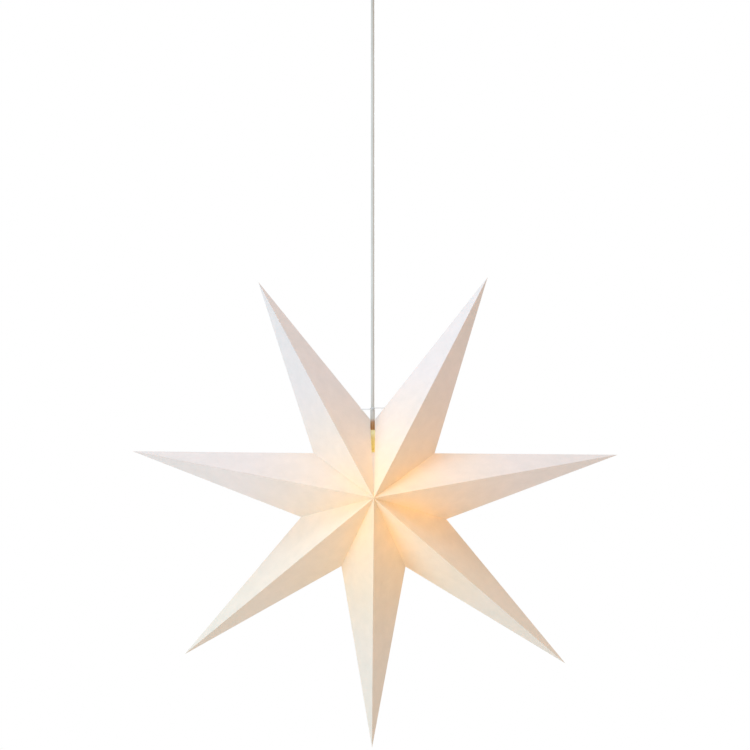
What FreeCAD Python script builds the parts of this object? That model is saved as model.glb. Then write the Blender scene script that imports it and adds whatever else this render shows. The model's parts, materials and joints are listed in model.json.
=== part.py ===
import FreeCAD, Part
import math
import os
import Sketcher

# A folded paper star pendant with seven points, hung from a ceiling rose on a round cord.
# Millimetres. The origin is on the ceiling plane, on the cord's axis. +Z is up, +X is to the
# right and the star's face looks along -Y. Heights inside the lampholder, the bulb and the star
# are measured from the star's centre, which hangs star_drop below the ceiling.

SIZES = [
    # how the star hangs
    ("star_drop", 792, "ceiling to the star's centre"),
    ("star_offset", 2.0, "star's centre, to the right of the cord"),
    ("cord_radius", 2.5, "round two-core cord"),
    ("conductor_radius", 0.9, "one insulated conductor"),
    ("conductor_spacing", 2.2, "between the two conductors in the cord"),
    ("seat_gap", 0.3, "between pieces that move on each other"),
    ("slip_fit", 0.05, "radial room of a pin or tube in its hole"),
    # ceiling cup
    ("cup_radius", 50, "outside of the ceiling cup"),
    ("cup_depth", 42, "ceiling to the cup's floor"),
    ("cup_wall", 1.2, "sheet of the cup"),
    ("cup_edge_radius", 9, "rounding at the cup's floor"),
    # bracket
    ("bracket_width", 20, "steel strap"),
    ("bracket_thickness", 2, "steel strap"),
    ("bracket_clearance", 0.4, "strap's ears to the inside of the cup"),
    ("bracket_ear", 17, "height of the strap's bent ends"),
    ("ceiling_screw_spacing", 60, "between the strap's two screw holes"),
    ("ceiling_hole_radius", 2.6, "holes for the ceiling screws"),
    ("cup_screw_radius", 2.0, "screws through the cup into the ears"),
    ("cup_screw_length", 7, "shank under the head"),
    ("cup_screw_drop", 11, "ceiling to the cup screws"),
    ("cup_screw_head_radius", 4.2, "knurled head"),
    ("cup_screw_head_height", 3.6, "knurled head"),
    ("cup_screw_slot_width", 1.05, "driver slot in the head"),
    ("cup_screw_slot_depth", 1.44, "driver slot in the head"),
    # terminal block
    ("block_width", 21, "across both poles"),
    ("block_depth", 11, "front to back"),
    ("block_height", 14, "under the strap"),
    ("pole_spacing", 11, "between the two poles"),
    ("tube_radius", 2.4, "brass tube of a pole"),
    ("tube_bore_radius", 1.5, "bore of the tube"),
    ("tube_length", 10, "length of the tube"),
    ("pole_screw_radius", 1.1, "clamping screws"),
    ("block_screw_radius", 1.5, "screw that holds the block"),
    ("block_screw_head_radius", 2.8, "its head"),
    ("block_screw_head_height", 1.8, "its head"),
    # cord grip
    ("grip_length", 20, "below the cup"),
    ("grip_radius", 9, "at the cup"),
    ("grip_mouth_radius", 8.4, "outside of the mouth"),
    ("grip_thread_radius", 5, "threaded end inside the cup"),
    ("grip_thread_length", 9, "above the cup's floor"),
    ("grip_bore_clearance", 0.1, "bore to cord"),
    ("bend_depth", 7, "mouth up to where the cord bends"),
    ("mouth_bore_radius", 7.0, "flared bore at the mouth"),
    ("nut_flats", 14, "locknut across flats"),
    ("nut_height", 3.5, "locknut"),
    ("grip_screw_radius", 1.5, "nylon screw that pinches the cord"),
    ("tail_height", 15, "cord's jacket above the cup's floor"),
    # lampholder
    ("holder_radius", 13.5, "outside of the lampholder"),
    ("holder_wall", 1.6, "moulded wall"),
    ("holder_top", 98, "top of the cap above the star's centre"),
    ("holder_split", 70, "joint of cap and skirt"),
    ("holder_mouth", 36, "lower rim of the skirt"),
    ("holder_neck_radius", 6, "flat top of the cap"),
    ("holder_dome_radius", 16, "arc of the cap's shoulder"),
    ("holder_shoulder", 84, "where the shoulder meets the cap's side"),
    ("sleeve_wall", 0.8, "strain relief sleeve on the cord"),
    ("carrier_top", 65, "contact carrier"),
    ("carrier_bottom", 58, "contact carrier"),
    ("carrier_screw_head_radius", 2.2, "screws that clamp the conductors"),
    ("carrier_screw_slot_width", 0.55, "driver slot in the head"),
    ("carrier_screw_slot_depth", 0.64, "driver slot in the head"),
    ("ledge_height", 2, "ledge under the carrier"),
    ("ledge_radius", 9.5, "hole in the ledge"),
    ("shell_wall", 0.4, "threaded brass shell"),
    ("shell_length", 20, "below the carrier"),
    ("socket_clearance", 0.35, "shell to bulb cap"),
    ("collar_radius", 5.2, "collar that holds the cord in the cap"),
    ("collar_height", 6, "collar"),
    ("cord_end", 84, "end of the cord's jacket in the cap"),
    # bulb
    ("bulb_radius", 22.5, "round opal bulb"),
    ("bulb_glass", 0.8, "glass wall"),
    ("bulb_neck_radius", 6.2, "glass inside the screw cap"),
    ("bulb_neck_foot", 17, "where the neck leaves the ball"),
    ("screw_cap_radius", 6.9, "crests of the screw cap"),
    ("screw_cap_root", 6.45, "roots of the screw cap"),
    ("screw_cap_wall", 0.2, "screw cap"),
    ("screw_cap_bottom", 31, "lower rim of the screw cap"),
    ("screw_pitch", 2.8, "between crests"),
    ("screw_crest_count", 6, "crests on the screw cap"),
    ("bulb_tip", 55.5, "contact at the bulb's top"),
    ("filament_radius", 0.9, "light strip"),
    ("filament_length", 24, "light strip"),
    ("filament_spread", 5, "strips from the bulb's axis"),
    # hanger wire
    ("wire_radius", 0.6, "spring wire"),
    ("wire_above_corner", 14.5, "left arm above the open seam's inner corners"),
    ("loop_clearance", 0.35, "cord to loop"),
    ("loop_pitch", 1.7, "rise of the loop in one turn"),
    ("hook_reach", 5, "arm inside the star's point"),
    ("hook_drop", 7, "hooked end"),
    ("hook_bend", 1.8, "bend of the hook"),
    ("wire_hole_radius", 1.5, "punched hole in the fold"),
    # star
    ("star_half_depth", 90, "centre of the star to its front apex"),
    ("valley_radius", 108.5, "centre to each inner corner"),
    ("open_valley_radius", 113.5, "centre to the inner corners of the open seam"),
    ("paper_thickness", 0.4, "card of the star"),
    ("open_seam_direction", 91, "middle of the open seam, degrees from +X"),
    ("open_seam_gap", 3.8, "width of the open seam in degrees"),
    ("flap_width", 8, "glue flaps inside the seams"),
    ("flap_end", 14, "corner of the star to the flap's end"),
    ("flap_taper", 7, "slanted end of a flap"),
    ("strip_start", 8, "closing strip, from the star's axis"),
    ("strip_reach", 65, "closing strip, to the foot of the slit"),
]

# Each point of the star, anticlockwise from the open seam as seen from the front: its name, the
# width of its wedge in degrees and the reach of its tip. The last wedge is what is left over.
POINTS = [
    ("upper_left", 50.6, 354.2),
    ("left", 51.1, 354.6),
    ("lower_left", 49.8, 352.6),
    ("bottom", 50.3, 357.9),
    ("lower_right", 49.0, 363.2),
    ("right", 52.7, 356.8),
    ("upper_right", None, 358.9),
]

doc = FreeCAD.newDocument("paper_star_pendant")
sheet = doc.addObject("Spreadsheet::Sheet", "sizes")
rows = list(SIZES)
for point_name, wedge, reach in POINTS:
    rows.append(("reach_" + point_name, reach, "centre to the tip of this point"))
    if wedge is not None:
        rows.append(("wedge_" + point_name, wedge, "degrees between this point's seams"))
for row, (alias, number, note) in enumerate(rows, start=1):
    sheet.set("A%d" % row, str(number))
    sheet.setAlias("A%d" % row, alias)
    sheet.set("B%d" % row, note)
doc.recompute()

FULL_TURN = 360
ARC_SHARE_OF_RUN = 0.45
TUBE_VOLUME_TOLERANCE = 0.02
STAR = "-sizes.star_drop"
CUP_FLOOR = "-sizes.cup_depth"
BEND_ROOM = "sizes.cord_radius + sizes.seat_gap"
WIRE_HEIGHT = "(sizes.open_valley_radius + sizes.wire_above_corner)"
nodes = []


def value(text):
    """The number that an expression on the sheet has now."""
    return float(sheet.evalExpression(text))


def size(alias):
    return value("sizes." + alias)


def keep(thing, label):
    """Name a finished sub-part; its label also names its file."""
    thing.Label = label
    nodes.append(thing)
    return thing


def bind(thing, **sizes):
    """Tie properties of an object to the sheet; __ stands for a dot in the property's path."""
    for path, text in sizes.items():
        thing.setExpression(path.replace("__", "."), text)
    return thing


# ---------------------------------------------------------------- bodies made from sketches

def new_body(label, height="0"):
    body = keep(doc.addObject("PartDesign::Body", label), label)
    return bind(body, Placement__Base__z=height)


def origin_plane(body, role):
    return next(plane for plane in body.Origin.OriginFeatures if plane.Role == role)


def arc_between(start, end, radius):
    """Short arc from start to end; a positive radius turns left, a negative one turns right."""
    chord = end - start
    half = chord.Length / 2
    left = FreeCAD.Vector(-chord.y, chord.x, 0) / chord.Length
    rise = math.sqrt(radius * radius - half * half)
    centre = (start + end) / 2 + left * math.copysign(rise, radius)
    first, last = (start, end) if radius > 0 else (end, start)
    angles = [math.atan2(corner.y - centre.y, corner.x - centre.x) for corner in (first, last)]
    circle = Part.Circle(centre, FreeCAD.Vector(0, 0, 1), abs(radius))
    return Part.ArcOfCircle(circle, angles[0], angles[1])


def outline_sketch(body, name, role, corners, lift="0"):
    """Closed outline on an origin plane. Each corner is a pair of expressions; a third one is
    the radius of the arc to the next corner. Every corner and radius is tied to the sheet."""
    sketch = body.newObject("Sketcher::SketchObject", name)
    sketch.AttachmentSupport = [(origin_plane(body, role), "")]
    sketch.MapMode = "FlatFace"
    sketch.setExpression("AttachmentOffset.Base.z", lift)
    places = [FreeCAD.Vector(value(corner[0]), value(corner[1]), 0) for corner in corners]
    ends = []
    for index, corner in enumerate(corners):
        start = places[index]
        end = places[(index + 1) % len(corners)]
        if len(corner) == 2:
            edge = sketch.addGeometry(Part.LineSegment(start, end), False)
            ends.append((edge, 1, 2))
            continue
        radius = value(corner[2])
        edge = sketch.addGeometry(arc_between(start, end, radius), False)
        ends.append((edge, 1, 2) if radius > 0 else (edge, 2, 1))
        place = sketch.addConstraint(Sketcher.Constraint("Radius", edge, abs(radius)))
        sketch.setExpression("Constraints[%d]" % place, "abs(%s)" % corner[2])
    for index, corner in enumerate(corners):
        edge, first, last = ends[index]
        before = ends[index - 1]
        sketch.addConstraint(Sketcher.Constraint("Coincident", before[0], before[2], edge, first))
        for kind, text in (("DistanceX", corner[0]), ("DistanceY", corner[1])):
            place = sketch.addConstraint(
                Sketcher.Constraint(kind, -1, 1, edge, first, value(text)))
            sketch.setExpression("Constraints[%d]" % place, text)
    return sketch


def circles_sketch(body, name, role, circles, lift="0"):
    """Circles on an origin plane, each given as expressions for x, y and radius."""
    sketch = body.newObject("Sketcher::SketchObject", name)
    sketch.AttachmentSupport = [(origin_plane(body, role), "")]
    sketch.MapMode = "FlatFace"
    sketch.setExpression("AttachmentOffset.Base.z", lift)
    for x_text, y_text, radius_text in circles:
        centre = FreeCAD.Vector(value(x_text), value(y_text), 0)
        ring = Part.Circle(centre, FreeCAD.Vector(0, 0, 1), value(radius_text))
        edge = sketch.addGeometry(ring, False)
        for kind, text in (("DistanceX", x_text), ("DistanceY", y_text)):
            place = sketch.addConstraint(Sketcher.Constraint(kind, -1, 1, edge, 3, value(text)))
            sketch.setExpression("Constraints[%d]" % place, text)
        place = sketch.addConstraint(Sketcher.Constraint("Radius", edge, value(radius_text)))
        sketch.setExpression("Constraints[%d]" % place, radius_text)
    return sketch


def turned(label, height, corners):
    """A round piece: the outline in the XZ plane turned about the Z axis."""
    body = new_body(label, height)
    profile = outline_sketch(body, label + "_profile", "XZ_Plane", corners)
    turn = body.newObject("PartDesign::Revolution", label + "_turn")
    turn.Profile = profile
    turn.ReferenceAxis = (profile, ["V_Axis"])
    turn.Angle = FULL_TURN
    body.Tip = turn
    return body


def pad(body, profile, length, midplane=False, backwards=False):
    feature = body.newObject("PartDesign::Pad", profile.Name + "_pad")
    feature.Profile = profile
    feature.setExpression("Length", length)
    feature.SideType = "Symmetric" if midplane else "One side"
    feature.Reversed = backwards
    body.Tip = feature
    return feature


def pocket(body, profile, midplane=True, backwards=False, length=None):
    """Cut the outline out of the body, right through or to a length, and check that it cut."""
    doc.recompute()
    before = body.Shape.Volume
    feature = body.newObject("PartDesign::Pocket", profile.Name + "_cut")
    feature.Profile = profile
    feature.SideType = "Symmetric" if midplane else "One side"
    feature.Reversed = backwards
    if length is None:
        feature.Type = "ThroughAll"
    else:
        feature.setExpression("Length", length)
    body.Tip = feature
    doc.recompute()
    if body.Shape.Volume >= before - 1e-6:
        raise RuntimeError(profile.Name + " cut nothing")
    return feature


# ---------------------------------------------------------------- primitives

TURNS = {
    "up": FreeCAD.Rotation(),
    "right": FreeCAD.Rotation(FreeCAD.Vector(0, 1, 0), 90),
    "left": FreeCAD.Rotation(FreeCAD.Vector(0, 1, 0), -90),
    "front": FreeCAD.Rotation(FreeCAD.Vector(1, 0, 0), 90),
}


def cylinder(name, radius, height, x="0", y="0", z="0", towards="up"):
    """A cylinder that starts at a place and runs towards one side."""
    rod = doc.addObject("Part::Cylinder", name)
    rod.Placement.Rotation = TURNS[towards]
    bind(rod, Radius=radius, Height=height)
    return bind(rod, Placement__Base__x=x, Placement__Base__y=y, Placement__Base__z=z)


def box(name, width, depth, height, x, y, z):
    """A box centred on x and y that stands on z."""
    block = doc.addObject("Part::Box", name)
    bind(block, Length=width, Width=depth, Height=height)
    bind(block, Placement__Base__x="%s - (%s) / 2" % (x, width))
    return bind(block, Placement__Base__y="%s - (%s) / 2" % (y, depth), Placement__Base__z=z)


def fused(name, pieces):
    union = doc.addObject("Part::MultiFuse", name)
    union.Shapes = pieces
    return union


def cut(name, base, tools):
    result = doc.addObject("Part::Cut", name)
    result.Base = base
    result.Tool = tools[0] if len(tools) == 1 else fused(name + "_tools", tools)
    return result


def shaped(label, shape, place=FreeCAD.Placement()):
    """A piece whose faces follow from a calculation."""
    piece = keep(doc.addObject("Part::Feature", label), label)
    piece.Shape = shape
    piece.Placement = place
    return piece


# ---------------------------------------------------------------- ceiling rose

NUT_SIDES = 6
CUP_INSIDE = "(sizes.cup_radius - sizes.cup_wall)"
BRACKET_HALF = ("(sqrt(%s^2 - (sizes.bracket_width / 2)^2) - sizes.bracket_clearance)"
                % CUP_INSIDE)


def ceiling_bracket():
    """Steel strap on the ceiling with two screw holes; its ends are bent down as ears."""
    body = new_body("ceiling_bracket")
    inner = BRACKET_HALF + " - sizes.bracket_thickness"
    strap = outline_sketch(body, "strap_outline", "XZ_Plane", [
        ("-" + BRACKET_HALF, "0"),
        ("-" + BRACKET_HALF, "-sizes.bracket_ear"),
        ("-(%s)" % inner, "-sizes.bracket_ear"),
        ("-(%s)" % inner, "-sizes.bracket_thickness"),
        (inner, "-sizes.bracket_thickness"),
        (inner, "-sizes.bracket_ear"),
        (BRACKET_HALF, "-sizes.bracket_ear"),
        (BRACKET_HALF, "0"),
    ])
    pad(body, strap, "sizes.bracket_width", midplane=True)
    half = "sizes.ceiling_screw_spacing / 2"
    holes = circles_sketch(body, "strap_holes", "XY_Plane", [
        ("-" + half, "0", "sizes.ceiling_hole_radius"),
        (half, "0", "sizes.ceiling_hole_radius"),
        ("0", "0", "sizes.block_screw_radius + sizes.slip_fit"),
    ])
    pocket(body, holes)
    ears = circles_sketch(body, "ear_holes", "YZ_Plane", [
        ("0", "-sizes.cup_screw_drop", "sizes.cup_screw_radius + sizes.slip_fit"),
    ])
    pocket(body, ears)


def ceiling_cup():
    """Round sheet cup; its floor carries the cord grip and its sides the two cup screws."""
    hole = "sizes.grip_thread_radius + sizes.slip_fit"
    edge = "sizes.cup_edge_radius"
    wall = "sizes.cup_wall"
    side = "sizes.cup_radius"
    floor = "-sizes.cup_depth"
    body = turned("ceiling_cup", "0", [
        (hole, floor),
        ("%s - %s" % (side, edge), floor, edge),
        (side, "%s + %s" % (floor, edge)),
        (side, "0"),
        ("%s - %s" % (side, wall), "0"),
        ("%s - %s" % (side, wall), "%s + %s" % (floor, edge), "-(%s - %s)" % (edge, wall)),
        ("%s - %s" % (side, edge), "%s + %s" % (floor, wall)),
        (hole, "%s + %s" % (floor, wall)),
    ])
    holes = circles_sketch(body, "cup_screw_holes", "YZ_Plane", [
        ("0", "-sizes.cup_screw_drop", "sizes.cup_screw_radius + sizes.slip_fit"),
    ])
    pocket(body, holes)


def cup_screws():
    """Two knurled screws, one from each side, that hold the cup to the bracket's ears."""
    pieces = []
    slots = []
    for side, sign in (("right", "1"), ("left", "-1")):
        seat = "%s * sizes.cup_radius" % sign
        inside = "%s * (sizes.cup_radius - sizes.cup_screw_length)" % sign
        top = "%s * (sizes.cup_radius + sizes.cup_screw_head_height)" % sign
        drop = "-sizes.cup_screw_drop"
        pieces.append(cylinder("cup_screw_head_" + side, "sizes.cup_screw_head_radius",
                               "sizes.cup_screw_head_height", seat, "0", drop, side))
        pieces.append(cylinder("cup_screw_shank_" + side, "sizes.cup_screw_radius",
                               "sizes.cup_screw_length", inside, "0", drop, side))
        slots.append(box("cup_screw_slot_" + side, "sizes.cup_screw_slot_depth * 2",
                         "sizes.cup_screw_head_radius * 3", "sizes.cup_screw_slot_width",
                         top, "0", drop + " - sizes.cup_screw_slot_width / 2"))
    keep(cut("cup_screws", fused("cup_screw_pair", pieces), slots), "cup_screws")


def terminal_block():
    """Two-pole block under the strap, with its brass tubes, clamping screws and fixing screw."""
    bottom = "-(sizes.bracket_thickness + sizes.block_height)"
    body = new_body("terminal_block")
    half_width = "sizes.block_width / 2"
    half_depth = "sizes.block_depth / 2"
    block = outline_sketch(body, "block_outline", "XY_Plane", [
        ("-" + half_width, "-" + half_depth),
        (half_width, "-" + half_depth),
        (half_width, half_depth),
        ("-" + half_width, half_depth),
    ], bottom)
    pad(body, block, "sizes.block_height")
    pole = "sizes.pole_spacing / 2"
    tube_hole = "sizes.tube_radius + sizes.slip_fit"
    tubes_low = bottom + " + sizes.tube_length"
    tube_holes = circles_sketch(body, "tube_holes", "XY_Plane", [
        ("-" + pole, "0", tube_hole),
        (pole, "0", tube_hole),
    ], tubes_low)
    pocket(body, tube_holes, midplane=False, length="sizes.tube_length")
    screw_holes = circles_sketch(body, "pole_screw_holes", "XZ_Plane", [
        ("-" + pole, bottom + " + sizes.tube_length / 2",
         "sizes.pole_screw_radius + sizes.slip_fit"),
        (pole, bottom + " + sizes.tube_length / 2", "sizes.pole_screw_radius + sizes.slip_fit"),
    ])
    pocket(body, screw_holes, midplane=False, backwards=True, length=half_depth)
    middle = circles_sketch(body, "block_screw_hole", "XY_Plane", [
        ("0", "0", "sizes.block_screw_radius + sizes.slip_fit"),
    ])
    pocket(body, middle)

    tubes = []
    bores = []
    screws = []
    for side, sign in (("left", "-"), ("right", "")):
        x = sign + pole
        tubes.append(cylinder("pole_tube_" + side, "sizes.tube_radius", "sizes.tube_length",
                              x, "0", bottom))
        bores.append(cylinder("pole_bore_" + side, "sizes.tube_bore_radius",
                              "sizes.tube_length", x, "0", bottom))
        bores.append(cylinder("pole_thread_" + side,
                              "sizes.pole_screw_radius + sizes.slip_fit", "sizes.tube_radius",
                              x, "0", bottom + " + sizes.tube_length / 2", "front"))
        screws.append(cylinder("pole_screw_" + side, "sizes.pole_screw_radius",
                               half_depth + " - sizes.tube_bore_radius", x,
                               "-sizes.tube_bore_radius", bottom + " + sizes.tube_length / 2",
                               "front"))
    keep(cut("terminal_tubes", fused("pole_tube_pair", tubes), bores), "terminal_tubes")
    keep(fused("terminal_screws", screws), "terminal_screws")
    head = cylinder("block_screw_head", "sizes.block_screw_head_radius",
                    "sizes.block_screw_head_height", "0", "0",
                    bottom + " - sizes.block_screw_head_height")
    shank = cylinder("block_screw_shank", "sizes.block_screw_radius",
                     "sizes.block_height + sizes.bracket_thickness", "0", "0", bottom)
    keep(fused("block_screw", [head, shank]), "block_screw")


def cord_grip():
    """Bushing in the cup's floor with a flared mouth, its locknut and the pinching screw."""
    bore = "sizes.cord_radius + sizes.grip_bore_clearance"
    body = turned("cord_grip", CUP_FLOOR, [
        (bore, "-sizes.grip_length + sizes.bend_depth + " + BEND_ROOM),
        ("sizes.mouth_bore_radius", "-sizes.grip_length"),
        ("sizes.grip_mouth_radius", "-sizes.grip_length"),
        ("sizes.grip_radius", "-sizes.grip_length / 2"),
        ("sizes.grip_radius", "0"),
        ("sizes.grip_thread_radius", "0"),
        ("sizes.grip_thread_radius", "sizes.grip_thread_length"),
        (bore, "sizes.grip_thread_length"),
    ])
    screw_height = "-sizes.grip_length / 4"
    hole = circles_sketch(body, "grip_screw_hole", "YZ_Plane", [
        ("0", screw_height, "sizes.grip_screw_radius + sizes.slip_fit"),
    ])
    pocket(body, hole, midplane=False, backwards=True)
    keep(cylinder("grip_screw", "sizes.grip_screw_radius",
                  "sizes.grip_radius - sizes.cord_radius", "sizes.cord_radius", "0",
                  "%s + %s" % (CUP_FLOOR, screw_height), "right"), "grip_screw")

    nut = new_body("grip_locknut", CUP_FLOOR + " + sizes.cup_wall")
    flat_turn = FULL_TURN // NUT_SIDES
    corner = "sizes.nut_flats / 2 / cos(%d)" % (flat_turn / 2)
    hexagon = outline_sketch(nut, "nut_outline", "XY_Plane", [
        ("%s * cos(%d)" % (corner, turn), "%s * sin(%d)" % (corner, turn))
        for turn in range(0, FULL_TURN, flat_turn)
    ])
    pad(nut, hexagon, "sizes.nut_height")
    nut_bore = circles_sketch(nut, "nut_bore", "XY_Plane", [
        ("0", "0", "sizes.grip_thread_radius + sizes.slip_fit"),
    ])
    pocket(nut, nut_bore)


# ---------------------------------------------------------------- cord and conductors

BEND = CUP_FLOOR + " - sizes.grip_length + sizes.bend_depth"
TAIL_TOP = CUP_FLOOR + " + sizes.cup_wall + sizes.tail_height"
CORD_LOW = STAR + " + sizes.cord_end"


def bent_tube(points, radius):
    """Tube through points: straight runs joined by tangent arcs as large as the runs allow."""
    path = []
    start = points[0]
    for before, corner, after in zip(points, points[1:], points[2:]):
        coming = (corner - before).normalize()
        going = (after - corner).normalize()
        trim = ARC_SHARE_OF_RUN * min((corner - before).Length, (after - corner).Length)
        arc_start = corner - coming * trim
        arc_end = corner + going * trim
        half_turn = coming.getAngle(going) / 2
        bend_radius = trim / math.tan(half_turn)
        inward = (going - coming).normalize()
        centre = corner + inward * (bend_radius / math.cos(half_turn))
        middle = centre - inward * bend_radius
        path.append(Part.LineSegment(start, arc_start).toShape())
        path.append(Part.Arc(arc_start, middle, arc_end).toShape())
        start = arc_end
    path.append(Part.LineSegment(start, points[-1]).toShape())
    return swept(Part.Wire(path), radius)


def swept(wire, radius):
    """Round section along a wire, checked against the section times the length."""
    first = wire.OrderedEdges[0]
    heading = first.tangentAt(first.FirstParameter)
    ring = Part.Circle(first.valueAt(first.FirstParameter), heading, radius)
    tube = wire.makePipeShell([Part.Wire([ring.toShape()])], True, False)
    expected = math.pi * radius * radius * wire.Length
    if abs(tube.Volume / expected - 1) > TUBE_VOLUME_TOLERANCE:
        raise RuntimeError("a tube came out %.3f of its volume" % (tube.Volume / expected))
    return tube


def cord():
    """The cord in three stretches: clamped in the grip, bending in its mouth, and hanging."""
    keep(cylinder("cord_tail", "sizes.cord_radius",
                  "(%s) - (%s) - (%s)" % (TAIL_TOP, BEND, BEND_ROOM), "0", "0",
                  "%s + %s" % (BEND, BEND_ROOM)), "cord_tail")
    knuckle = keep(doc.addObject("Part::Sphere", "cord_bend"), "cord_bend")
    bind(knuckle, Radius="sizes.cord_radius", Placement__Base__z=BEND)
    keep(cylinder("pendant_cord", "sizes.cord_radius",
                  "(%s) - (%s) - (%s)" % (BEND, BEND_ROOM, CORD_LOW), "0", "0",
                  CORD_LOW), "pendant_cord")


def conductor(label, side, cord_height, far_x, far_height):
    """One conductor from the end of the cord's jacket to a terminal, straight at both ends."""
    near_x = side * size("conductor_spacing") / 2
    step = (far_height - cord_height) / 3
    points = [
        FreeCAD.Vector(near_x, 0, cord_height),
        FreeCAD.Vector(near_x, 0, cord_height + step),
        FreeCAD.Vector(far_x, 0, far_height - step),
        FreeCAD.Vector(far_x, 0, far_height),
    ]
    shaped(label, bent_tube(points, size("conductor_radius")))


def conductors():
    block_bottom = -(size("bracket_thickness") + size("block_height"))
    pole = size("pole_spacing") / 2
    for name, side in (("brown", -1), ("blue", 1)):
        conductor("conductor_%s_top" % name, side, value(TAIL_TOP), side * pole,
                  block_bottom + size("tube_length") / 3)
    for name, side in (("brown", -1), ("blue", 1)):
        conductor("conductor_%s_low" % name, side, value(CORD_LOW), side * value(CARRIER_SCREW),
                  value(STAR) + size("carrier_top") + value(CARRIER_SCREW_HEAD))


# ---------------------------------------------------------------- lampholder

CARRIER_RADIUS = "(sizes.holder_radius - sizes.holder_wall - sizes.slip_fit * 2)"
CARRIER_SCREW = "sizes.holder_radius * 0.42"
CARRIER_SCREW_HEAD = "sizes.holder_wall"


def strain_sleeve():
    """Soft sleeve on the cord above the cap; the hanger wire's loop rests on its top."""
    top = WIRE_HEIGHT + " - sizes.wire_radius - sizes.seat_gap"
    inner = "sizes.cord_radius"
    outer = "sizes.cord_radius + sizes.sleeve_wall"
    turned("strain_sleeve", STAR, [
        (inner, "sizes.holder_top"),
        (outer, "sizes.holder_top"),
        (outer, top),
        (inner, top),
    ])


def holder_cap():
    """Domed upper half of the lampholder; a spigot below it presses on the contact carrier."""
    wall = "sizes.holder_wall"
    side = "sizes.holder_radius"
    spigot = CARRIER_RADIUS
    turned("holder_cap", STAR, [
        (side, "sizes.holder_split"),
        (side, "sizes.holder_shoulder", "sizes.holder_dome_radius"),
        ("sizes.holder_neck_radius", "sizes.holder_top"),
        ("sizes.cord_radius", "sizes.holder_top"),
        ("sizes.cord_radius", "sizes.holder_top - " + wall),
        ("sizes.holder_neck_radius - %s / 3" % wall, "sizes.holder_top - " + wall,
         "-(sizes.holder_dome_radius - %s)" % wall),
        (side + " - " + wall, "sizes.holder_shoulder"),
        (side + " - " + wall, "sizes.holder_split + " + wall),
        (spigot + " - " + wall, "sizes.holder_split"),
        (spigot + " - " + wall, "sizes.carrier_top"),
        (spigot, "sizes.carrier_top"),
        (spigot, "sizes.holder_split"),
    ])


def holder_skirt():
    """Lower half of the lampholder with the ledge that carries the contact carrier."""
    inner = "sizes.holder_radius - sizes.holder_wall"
    turned("holder_skirt", STAR, [
        ("sizes.holder_radius - sizes.holder_wall / 3", "sizes.holder_mouth"),
        ("sizes.holder_radius", "sizes.holder_mouth + sizes.holder_wall"),
        ("sizes.holder_radius", "sizes.holder_split"),
        (inner, "sizes.holder_split"),
        (inner, "sizes.carrier_bottom"),
        ("sizes.ledge_radius", "sizes.carrier_bottom"),
        ("sizes.ledge_radius", "sizes.carrier_bottom - sizes.ledge_height"),
        (inner, "sizes.carrier_bottom - sizes.ledge_height"),
        (inner, "sizes.holder_mouth"),
    ])


def contact_carrier():
    """Insulating disc in the lampholder with two screws on top and the shell below."""
    turned("contact_carrier", STAR, [
        ("0", "sizes.carrier_bottom"),
        (CARRIER_RADIUS, "sizes.carrier_bottom"),
        (CARRIER_RADIUS, "sizes.carrier_top"),
        ("0", "sizes.carrier_top"),
    ])
    heads = []
    slots = []
    for side, sign in (("left", "-"), ("right", "")):
        x = sign + CARRIER_SCREW
        top = "%s + sizes.carrier_top" % STAR
        heads.append(cylinder("carrier_screw_" + side, "sizes.carrier_screw_head_radius",
                              CARRIER_SCREW_HEAD, x, "0", top))
        slots.append(box("carrier_slot_" + side, "sizes.carrier_screw_slot_width",
                         "sizes.carrier_screw_head_radius * 3", CARRIER_SCREW_HEAD, x, "0",
                         "%s + %s - sizes.carrier_screw_slot_depth" % (top, CARRIER_SCREW_HEAD)))
    keep(cut("carrier_screws", fused("carrier_screw_pair", heads), slots), "carrier_screws")


def socket_contacts():
    """Threaded brass shell and the centre contact, both under the carrier."""
    inner = "sizes.screw_cap_radius + sizes.socket_clearance"
    outer = inner + " + sizes.shell_wall"
    low = "sizes.carrier_bottom - sizes.shell_length"
    turned("screw_shell", STAR, [
        (inner, low),
        (outer, low),
        (outer, "sizes.carrier_bottom"),
        (inner + " - sizes.holder_wall", "sizes.carrier_bottom"),
        (inner + " - sizes.holder_wall", "sizes.carrier_bottom - sizes.shell_wall"),
        (inner, "sizes.carrier_bottom - sizes.shell_wall"),
    ])
    keep(cylinder("centre_contact", "sizes.tube_radius",
                  "sizes.carrier_bottom - sizes.bulb_tip - sizes.seat_gap", "0", "0",
                  "%s + sizes.bulb_tip + sizes.seat_gap" % STAR), "centre_contact")


def cord_collar():
    """Collar pinned to the cord under the cap's top, so that the cord can't pull out."""
    top = "sizes.holder_top - sizes.holder_wall"
    body = turned("cord_collar", STAR, [
        ("sizes.cord_radius", top + " - sizes.collar_height"),
        ("sizes.collar_radius", top + " - sizes.collar_height"),
        ("sizes.collar_radius", top),
        ("sizes.cord_radius", top),
    ])
    middle = top + " - sizes.collar_height / 2"
    hole = circles_sketch(body, "collar_screw_hole", "YZ_Plane", [
        ("0", middle, "sizes.grip_screw_radius + sizes.slip_fit"),
    ])
    pocket(body, hole, midplane=False, backwards=True)
    keep(cylinder("collar_screw", "sizes.grip_screw_radius",
                  "sizes.collar_radius - sizes.cord_radius", "sizes.cord_radius", "0",
                  "%s + %s" % (STAR, middle), "right"), "collar_screw")


# ---------------------------------------------------------------- bulb

CRESTS = "floor(sizes.screw_crest_count)"
CAP_TOP = "(sizes.screw_cap_bottom + (%s + 1) * sizes.screw_pitch)" % CRESTS


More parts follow.
